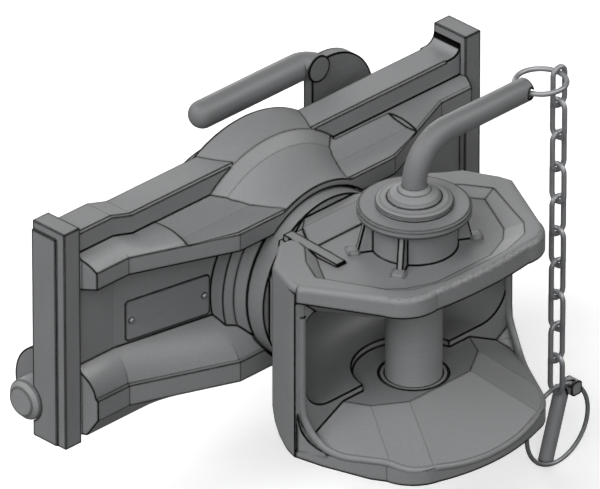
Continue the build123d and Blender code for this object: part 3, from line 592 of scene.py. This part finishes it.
def make_finishes(colours):
    """Every material by the record's slot that it belongs to."""
    even = (1.0, 1.0, 1.0)
    FINISHES.update({
        "cast_steel": primed_casting(colours.casting),
        # Milled rails: cutter marks 1 mm apart run up the rail.
        "machined_steel": streaked_steel("primed_milled_steel", colours.machined, 0.5, 0.0, 1.0,
                                         (1.0, 1.0, 0.06), 0.2, PRIMER_IOR),
        # Flame-cut plate: faint rolling marks along X.
        "plate_steel": streaked_steel("primed_steel_plate", colours.machined, 0.52, 0.0, 1.4,
                                      (0.15, 1.0, 1.0), 0.2, PRIMER_IOR),
        # Drawn bar: die lines along X.
        "round_bar": streaked_steel("primed_drawn_bar", colours.bar, 0.55, 0.0, 1.0,
                                    (0.05, 1.0, 1.0), 0.15, PRIMER_IOR),
        # Ground pin: rings left by the wheel, one above another.
        "ground_steel": streaked_steel("ground_steel", colours.ground, 0.6, 0.0, 0.9,
                                       (0.05, 0.05, 1.0), 0.15),
        # Zinc plating: a soft pale sheen with fine cloudy spangle.
        "zinc_wire": streaked_steel("zinc_plated_wire", colours.wire, 0.45, 0.3, 1.2, even, 0.15),
        # Phosphated spring steel: dark, dull and finely mottled.
        "spring_steel": streaked_steel("phosphated_spring_steel", colours.spring, 0.55, 0.3, 0.8, even,
                                       0.2),
        # Turned bronze: warm, with bright rings round the bush's axis.
        "bush_bronze": streaked_steel("bearing_bronze", colours.bronze, 0.36, 1.0, 0.8,
                                      (0.1, 1.0, 0.1), 0.15),
        # Anodised sheet: pale satin, brushed level.
        "plate_aluminium": streaked_steel("anodised_aluminium", colours.plate, 0.4, 0.5, 0.7,
                                          (0.08, 0.08, 1.0), 0.1),
    })


def slot_of(node):
    """Material slot that the record gives a node."""
    for entry in frame["record"]["subparts"]:
        if entry["node"] == node:
            return entry["material_slot"]
    raise RuntimeError(f"{node} has no material slot")


# Operators

class CouplerCastings(bpy.types.Operator):
    """Makes the frame casting and the jaw casting with smooth curves and crisp seams"""
    bl_idname = "coupler.castings"
    bl_label = "Castings"

    def execute(self, context):
        made = cast_copy("frame_casting", "frame_cast_body", hood_hollow(), *rib_end_tools())
        dress(made, "slide_frame", "cast_steel", FINISHES["cast_steel"], "frame_casting")
        made = cast_copy("jaw_casting", "jaw_cast_body")
        dress(made, "jaw", "cast_steel", FINISHES["cast_steel"], "jaw_casting")
        return {"FINISHED"}


def hood_hollow():
    """What the mould leaves out between the hood's rim and the barrel."""
    outline = [(-HOOD_HALF, y, z) for y, z in HOOD_BAND]
    hollow = new_object(prism(outline, (2 * HOOD_HALF, 0, 0)), "hood_hollow")
    barrel = lathe([(radius * MM, y * MM) for radius, y in HOOD_BARREL], HOOD_STEPS)
    place(barrel, turn=Matrix.Rotation(-pi / 2, 4, "X"))
    close_up(barrel)
    cut(hollow, barrel)
    return hollow


def rib_end_tools():
    """Cutters that leave the lower ribs' ends square."""
    return [new_object(prism([(side * x, y, RIB_END_LOW) for x, y in RIB_END], (0, 0, RIB_END_HIGH)),
                       "rib_end_tool") for side in (-1, 1)]


class CouplerMachined(bpy.types.Operator):
    """Makes the rails, disc, nut and the other machined pieces with broken edges"""
    bl_idname = "coupler.machined"
    bl_label = "Machined pieces"

    def execute(self, context):
        edge = context.scene.coupler_casting.edge
        pieces = (("guide_rail_left", "slide_frame", edge), ("guide_rail_right", "slide_frame", edge),
                  ("lever_retaining_ring", "slide_frame", edge / 3),
                  ("nameplate", "slide_frame", edge / 5), ("nameplate_rivets", "slide_frame", 0),
                  ("thrust_washer", "slide_frame", edge / 2), ("swivel_nut", "jaw", edge),
                  ("disc_spring", "jaw", edge / 3), ("cotter_pin", "jaw", edge / 3),
                  ("pin_disc", "jaw", edge / 2), ("upper_pin_bush", "jaw", edge / 3),
                  ("lower_pin_bush", "jaw", edge / 3), ("front_swivel_bush", "slide_frame", edge / 3),
                  ("rear_swivel_bush", "slide_frame", edge / 3))
        for node, body, width in pieces:
            made = machined_copy(node, f"{node}_finished", width)
            slot = "ground_steel" if node.endswith("pin_bush") else slot_of(node)
            dress(made, body, slot, FINISHES[slot], node)
        return {"FINISHED"}


class CouplerRibFeet(bpy.types.Operator):
    """Adds the rounded feet that the boss's four ribs stand on"""
    bl_idname = "coupler.rib_feet"
    bl_label = "Rib feet"

    def execute(self, context):
        shape = bmesh.new()
        for turn in FOOT_HEADINGS:
            made = bmesh.ops.create_cube(shape, size=1.0)["verts"]
            bmesh.ops.scale(shape, vec=Vector(FOOT_SIZE) * MM, verts=made)
            bmesh.ops.translate(shape, vec=Vector(FOOT_MIDDLE) * MM, verts=made)
            bmesh.ops.rotate(shape, cent=(0, 0, 0), matrix=Matrix.Rotation(radians(turn), 3, "Z"),
                             verts=made)
        soften(shape, FOOT_ROUND * MM)
        feet = new_object(shape, "boss_rib_feet")
        smooth_shade(feet, FOOT_SEAM)
        dress(feet, "jaw", "cast_steel", FINISHES["cast_steel"])
        return {"FINISHED"}


class CouplerLipBead(bpy.types.Operator):
    """Adds the rounded bead that edges the lower jaw's lip and the mouth's sides"""
    bl_idname = "coupler.lip_bead"
    bl_label = "Lip bead"

    def execute(self, context):
        right = [(x, y, fall_z(x, y)) for x, y in LIP_PLAN] + list(BEAD_RISE)
        route = [(-x, y, z) for x, y, z in reversed(right)] + right[1:]
        line = bpy.data.curves.new("lip_bead", "CURVE")
        line.dimensions = "3D"
        line.bevel_depth = BEAD_R * MM
        line.bevel_resolution = 6
        line.use_fill_caps = True
        run = line.splines.new("NURBS")
        run.points.add(len(route) - 1)
        for point, (x, y, z) in zip(run.points, route):
            point.co = (x * MM, y * MM, z * MM, 1.0)
        run.order_u = 3
        run.use_endpoint_u = True
        run.resolution_u = 6
        guide = bpy.data.objects.new("lip_bead_line", line)
        context.scene.collection.objects.link(guide)
        graph = context.evaluated_depsgraph_get()
        mesh = bpy.data.meshes.new_from_object(guide.evaluated_get(graph))
        bpy.data.objects.remove(guide)
        bead = bpy.data.objects.new("lip_bead", mesh)
        context.scene.collection.objects.link(bead)
        smooth_shade(bead, BEAD_SEAM)
        dress(bead, "jaw", "cast_steel", FINISHES["cast_steel"])
        return {"FINISHED"}


def fall_z(x, y):
    """Height of the lower jaw's sloping top at a plan point, a bead's middle below it."""
    heights = [MOUTH_FLOOR - fall * (x * cos(radians(heading)) + y * sin(radians(heading)) - start)
               for heading, start, fall in JAW_SLOPES]
    return min(heights) - BEAD_SUNK


class CouplerLever(bpy.types.Operator):
    """Makes the lever's plate and its bent round handle"""
    bl_idname = "coupler.lever"
    bl_label = "Lever"

    def execute(self, context):
        plate = cast_copy("lever_plate", "lever_cut_plate")
        dress(plate, "lever", "plate_steel", FINISHES["plate_steel"], "lever_plate")
        sizes = context.scene.coupler_lever
        shape = bmesh.new()
        start = Vector((sizes.handle_r - sizes.tip_x, sizes.handle_y, sizes.handle_z))
        first = bar_start(shape, start, (1, 0, 0), sizes.handle_r)
        dome = first
        steps = 8
        for step in range(1, steps):
            turn = pi / 2 * step / steps
            before = pi / 2 * (step - 1) / steps
            dome = bar_run(shape, dome, (-sizes.handle_r * (sin(turn) - sin(before)), 0, 0),
                           cos(turn) / cos(before))
        bar_end(shape, dome)
        end = bar_run(shape, first, (sizes.bend_x - start.x, 0, 0))
        end = bar_bend(shape, end, (sizes.bend_x, sizes.handle_y - sizes.bend_r, sizes.handle_z),
                       (0, 0, 1), -pi / 2)
        end = bar_run(shape, end, (0, -sizes.stub, 0))
        bar_end(shape, end)
        close_up(shape)
        handle = new_object(shape, "lever_bent_handle")
        smooth_shade(handle)
        dress(handle, "lever", "round_bar", FINISHES["round_bar"], "lever_handle")
        return {"FINISHED"}


class CouplerBolts(bpy.types.Operator):
    """Turns the two locking bolts and their drive pins"""
    bl_idname = "coupler.bolts"
    bl_label = "Locking bolts"

    def execute(self, context):
        sizes = context.scene.coupler_lever
        for side, name in ((-1, "left"), (1, "right")):
            radius = sizes.bolt_r
            inner = BOLT_INNER_CHAMFER * MM
            shape = lathe([(0, sizes.bolt_inner_x), (radius - inner, sizes.bolt_inner_x),
                           (radius, sizes.bolt_inner_x + inner),
                           (radius, sizes.bolt_outer_x - sizes.bolt_nose),
                           (radius - sizes.bolt_nose, sizes.bolt_outer_x), (0, sizes.bolt_outer_x)])
            soften(shape, BOLT_EDGE * MM, 1)
            place(shape, 0, sizes.bolt_y, -sizes.bolt_z, Matrix.Rotation(side * pi / 2, 4, "Y"))
            close_up(shape)
            bolt = new_object(shape, f"locking_bolt_{name}_turned")
            smooth_shade(bolt, BOLT_SEAM)
            dress(bolt, f"{name}_bolt", "ground_steel", FINISHES["ground_steel"], f"locking_bolt_{name}")
            low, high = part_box(f"drive_pin_{name}")
            shape = lathe([(0, low.y), (sizes.drive_r, low.y), (sizes.drive_r, high.y), (0, high.y)], 32)
            soften(shape, DRIVE_EDGE * MM)
            place(shape, side * sizes.drive_x, 0, -sizes.bolt_z, Matrix.Rotation(-pi / 2, 4, "X"))
            close_up(shape)
            pin = new_object(shape, f"drive_pin_{name}_turned")
            smooth_shade(pin)
            dress(pin, f"{name}_bolt", "ground_steel", FINISHES["ground_steel"], f"drive_pin_{name}")
        return {"FINISHED"}


class CouplerPin(bpy.types.Operator):
    """Turns the coupling pin with its shoulder and cone"""
    bl_idname = "coupler.coupling_pin"
    bl_label = "Coupling pin"

    def execute(self, context):
        sizes = context.scene.coupler_pin
        top = sizes.seat_z + sizes.shoulder_high
        tip, tip_high = Vector(PIN_TIP) * MM
        edge, edge_high = Vector(SHOULDER_EDGE) * MM
        foot, foot_low, foot_high = Vector(CONE_FOOT) * MM
        neck, neck_high = Vector(CONE_NECK) * MM
        shape = lathe([(0, -sizes.low_z), (sizes.radius - tip, -sizes.low_z),
                       (sizes.radius, -sizes.low_z + tip_high), (sizes.radius, sizes.seat_z),
                       (sizes.shoulder_r, sizes.seat_z), (sizes.shoulder_r, top - edge_high),
                       (sizes.shoulder_r - edge, top), (sizes.cone_r + foot, top + foot_low),
                       (sizes.cone_r, top + foot_high), (sizes.rod_r + neck, top + neck_high),
                       (sizes.rod_r, top + sizes.cone_high), (0, top + sizes.cone_high)], 96)
        soften(shape, PIN_EDGE * MM, 1, 20)
        close_up(shape)
        pin = new_object(shape, "coupling_pin_turned")
        hole = cylinder(sizes.hole_r, 3 * sizes.radius)
        place(hole, 0, 0, -sizes.hole_z, Matrix.Rotation(pi / 2, 4, "Y"))
        cut(pin, hole)
        smooth_shade(pin, PIN_SEAM)
        dress(pin, "pin", "ground_steel", FINISHES["ground_steel"], "coupling_pin")
        return {"FINISHED"}


class CouplerPinHandle(bpy.types.Operator):
    """Bends the pin's round-bar handle and drills it for the split ring"""
    bl_idname = "coupler.pin_handle"
    bl_label = "Pin handle"

    def execute(self, context):
        sizes = context.scene.coupler_pin
        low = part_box("pin_handle")[0].z
        shape = bmesh.new()
        first = bar_start(shape, (0, 0, low), (0, 0, 1), sizes.rod_r, 40)
        bar_end(shape, first)
        bend_z = sizes.rod_z - sizes.rod_bend
        end = bar_run(shape, first, (0, 0, bend_z - low))
        end = bar_bend(shape, end, (sizes.rod_bend, 0, bend_z), (0, 1, 0), pi / 2, 20)
        chamfer = ROD_CHAMFER * MM
        end = bar_run(shape, end, (sizes.rod_end_x - sizes.rod_bend - chamfer, 0, 0))
        end = bar_run(shape, end, (chamfer, 0, 0), 1 - chamfer / sizes.rod_r)
        bar_end(shape, end)
        close_up(shape)
        soften(shape, ROD_EDGE * MM, 2)
        rod = new_object(shape, "pin_handle_bent")
        low_x, high_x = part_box("split_ring")[0].x, sizes.rod_end_x
        hole = cylinder(sizes.ring_hole_r, 4 * sizes.rod_r)
        middle_x = (low_x + high_x) / 2 - RING_HOLE_BACK * MM
        place(hole, middle_x, 0, sizes.rod_z, Matrix.Rotation(pi / 2, 4, "X"))
        cut(rod, hole)
        smooth_shade(rod)
        dress(rod, "pin", "round_bar", FINISHES["round_bar"], "pin_handle")
        return {"FINISHED"}


class CouplerSplitRing(bpy.types.Operator):
    """Makes the split ring at the handle's end"""
    bl_idname = "coupler.split_ring"
    bl_label = "Split ring"

    def execute(self, context):
        sizes = context.scene.coupler_chain
        shape = wire_ring(sizes.ring_r, sizes.ring_wire)
        place(shape, sizes.ring_x, 0, context.scene.coupler_pin.rod_z)
        made = new_object(shape, "split_ring_wire")
        smooth_shade(made)
        dress(made, "split_ring", "zinc_wire", FINISHES["zinc_wire"], "split_ring")
        return {"FINISHED"}


class CouplerChain(bpy.types.Operator):
    """Bends the chain's ten links from round wire"""
    bl_idname = "coupler.chain"
    bl_label = "Chain"

    def execute(self, context):
        sizes = context.scene.coupler_chain
        bend = sizes.width / 2 - sizes.wire_r
        straight = (sizes.pitch + sizes.gap) / 2 + sizes.wire_r - bend
        for number in range(CHAIN_LINKS):
            node = f"chain_link_{number + 1:02d}"
            shape = bmesh.new()
            end = bar_start(shape, (-bend, 0, -straight), (0, 0, 1), sizes.wire_r, 20)
            end = bar_run(shape, end, (0, 0, 2 * straight))
            end = bar_bend(shape, end, (0, 0, straight), (0, 1, 0), pi, 20)
            end = bar_run(shape, end, (0, 0, -2 * straight))
            bar_bend(shape, end, (0, 0, -straight), (0, 1, 0), pi, 20)
            close_up(shape)
            low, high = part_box(node)
            turn = Matrix.Rotation(pi / 2 if number % 2 else 0.0, 4, "Z")
            place(shape, *((low + high) / 2), turn)
            link = new_object(shape, f"{node}_wire")
            smooth_shade(link)
            dress(link, node, "zinc_wire", FINISHES["zinc_wire"], node)
        return {"FINISHED"}


class CouplerLinch(bpy.types.Operator):
    """Makes the linch pin's ring, its shank and its head"""
    bl_idname = "coupler.linch"
    bl_label = "Linch pin"

    def execute(self, context):
        sizes = context.scene.coupler_chain
        low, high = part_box("linch_ring")
        shape = wire_ring(sizes.linch_ring_r, sizes.linch_wire, 128)
        place(shape, *((low + high) / 2), Matrix.Rotation(pi / 2, 4, "X"))
        made = new_object(shape, "linch_ring_wire")
        smooth_shade(made)
        dress(made, "linch_ring", "zinc_wire", FINISHES["zinc_wire"], "linch_ring")
        made = machined_copy("linch_pin", "linch_pin_finished", sizes.head_edge)
        dress(made, "linch_pin", "zinc_wire", FINISHES["zinc_wire"], "linch_pin")
        return {"FINISHED"}


class CouplerStudio(bpy.types.Operator):
    """Sets the pale floor, the soft light, the world and the camera"""
    bl_idname = "coupler.studio"
    bl_label = "Studio"

    def execute(self, context):
        scene = context.scene
        scene.view_settings.view_transform = "Standard"
        floor_shape = bmesh.new()
        bmesh.ops.create_grid(floor_shape, x_segments=1, y_segments=1, size=FLOOR_HALF)
        place(floor_shape, 0, 0, CAD_LOW.z - FLOOR_DROP)
        floor = new_object(floor_shape, "studio_floor")
        floor.data.materials.append(studio_paper())
        studio_world(scene)
        for name, level, heading, gloss_only in STUDIO_LAMPS:
            lamp = bpy.data.lights.new(name, "SUN")
            lamp.energy = level
            lamp.angle = radians(GLEAM_ANGLE if gloss_only else LAMP_ANGLE)
            softbox = bpy.data.objects.new(name, lamp)
            softbox.rotation_mode = "QUATERNION"
            softbox.rotation_quaternion = Vector(heading).to_track_quat("Z", "Y")
            softbox.visible_diffuse = not gloss_only
            scene.collection.objects.link(softbox)
        lens = bpy.data.cameras.new("studio_camera")
        lens.lens = CAMERA_LENS
        lens.sensor_width = 36.0
        lens.clip_start, lens.clip_end = 0.1, 100.0
        camera = bpy.data.objects.new("studio_camera", lens)
        towards = Vector(CAMERA_WAY).normalized()
        camera.location = Vector(CAMERA_AIM) * MM + towards * CAMERA_FAR
        camera.rotation_mode = "QUATERNION"
        camera.rotation_quaternion = towards.to_track_quat("Z", "Y")
        scene.collection.objects.link(camera)
        scene.camera = camera
        return {"FINISHED"}


def studio_paper():
    """Matt white paper roll: plain, and bright enough to the camera to read as white."""
    made = bpy.data.materials.new("studio_paper")
    made.use_nodes = True
    tree = made.node_tree
    tree.nodes.clear()
    path = add_node(tree, "ShaderNodeLightPath")
    tone = add_node(tree, "ShaderNodeMix", links={"Factor": path.outputs["Is Camera Ray"]},
                    data_type="RGBA")
    tone.inputs[6].default_value = linear("#8A8A8A")
    tone.inputs[7].default_value = linear("#F0F0F0")
    matt = add_node(tree, "ShaderNodeBsdfDiffuse", links={"Color": tone.outputs[2]})
    lift = add_node(tree, "ShaderNodeMath", {1: 0.5}, {0: path.outputs["Is Camera Ray"]},
                    operation="MULTIPLY")
    glow = add_node(tree, "ShaderNodeEmission", links={"Strength": lift.outputs[0]})
    both = add_node(tree, "ShaderNodeAddShader", links={0: matt.outputs[0], 1: glow.outputs[0]})
    add_node(tree, "ShaderNodeOutputMaterial", links={"Surface": both.outputs[0]})
    return made


def studio_world(scene):
    """Even pale light from all round, white where the camera or a reflection sees it."""
    world = bpy.data.worlds.new("studio_world")
    scene.world = world
    world.use_nodes = True
    tree = world.node_tree
    tree.nodes.clear()
    path = add_node(tree, "ShaderNodeLightPath")
    seen = add_node(tree, "ShaderNodeMath", links={0: path.outputs["Is Camera Ray"],
                                                   1: path.outputs["Is Glossy Ray"]}, operation="MAXIMUM")
    level = add_node(tree, "ShaderNodeMapRange", {"To Min": 0.18, "To Max": 1.0},
                     {"Value": seen.outputs[0]})
    sky = add_node(tree, "ShaderNodeBackground", links={"Strength": level.outputs["Result"]})
    sky.inputs["Color"].default_value = (1.0, 1.0, 1.0, 1.0)
    add_node(tree, "ShaderNodeOutputWorld", links={"Surface": sky.outputs[0]})


OPERATORS = (CouplerCastings, CouplerRibFeet, CouplerLipBead, CouplerMachined, CouplerLever,
             CouplerBolts, CouplerPin, CouplerPinHandle, CouplerSplitRing, CouplerChain, CouplerLinch,
             CouplerStudio)
GROUPS = {"coupler_casting": CouplerCastingSizes, "coupler_pin": CouplerPinSizes,
          "coupler_lever": CouplerLeverSizes, "coupler_chain": CouplerChainSizes,
          "coupler_colours": CouplerColours}


class CouplerPanel(bpy.types.Panel):
    """Lists the coupler's pieces and their sizes"""
    bl_idname = "VIEW3D_PT_coupler"
    bl_label = "Trailer coupler"
    bl_space_type = "VIEW_3D"
    bl_region_type = "UI"
    bl_category = "Coupler"

    def draw(self, context):
        for operator in OPERATORS:
            self.layout.operator(operator.bl_idname)
        for name in GROUPS:
            column = self.layout.column(heading=name.replace("_", " ").capitalize())
            group = getattr(context.scene, name)
            for key in group.bl_rna.properties.keys():
                if key not in ("rna_type", "name"):
                    column.prop(group, key)


def register():
    for group in GROUPS.values():
        bpy.utils.register_class(group)
    for name, group in GROUPS.items():
        setattr(bpy.types.Scene, name, bpy.props.PointerProperty(type=group))
    for operator in OPERATORS:
        bpy.utils.register_class(operator)
    bpy.utils.register_class(CouplerPanel)


def unregister():
    bpy.utils.unregister_class(CouplerPanel)
    for operator in reversed(OPERATORS):
        bpy.utils.unregister_class(operator)
    for name in GROUPS:
        delattr(bpy.types.Scene, name)
    for group in GROUPS.values():
        bpy.utils.unregister_class(group)


def main():
    """Makes every piece and the studio."""
    register()
    make_finishes(bpy.context.scene.coupler_colours)
    for operator in OPERATORS:
        group, name = operator.bl_idname.split(".")
        getattr(getattr(bpy.ops, group), name)()
    bpy.context.view_layer.update()


if __name__ == "__main__":
    main()
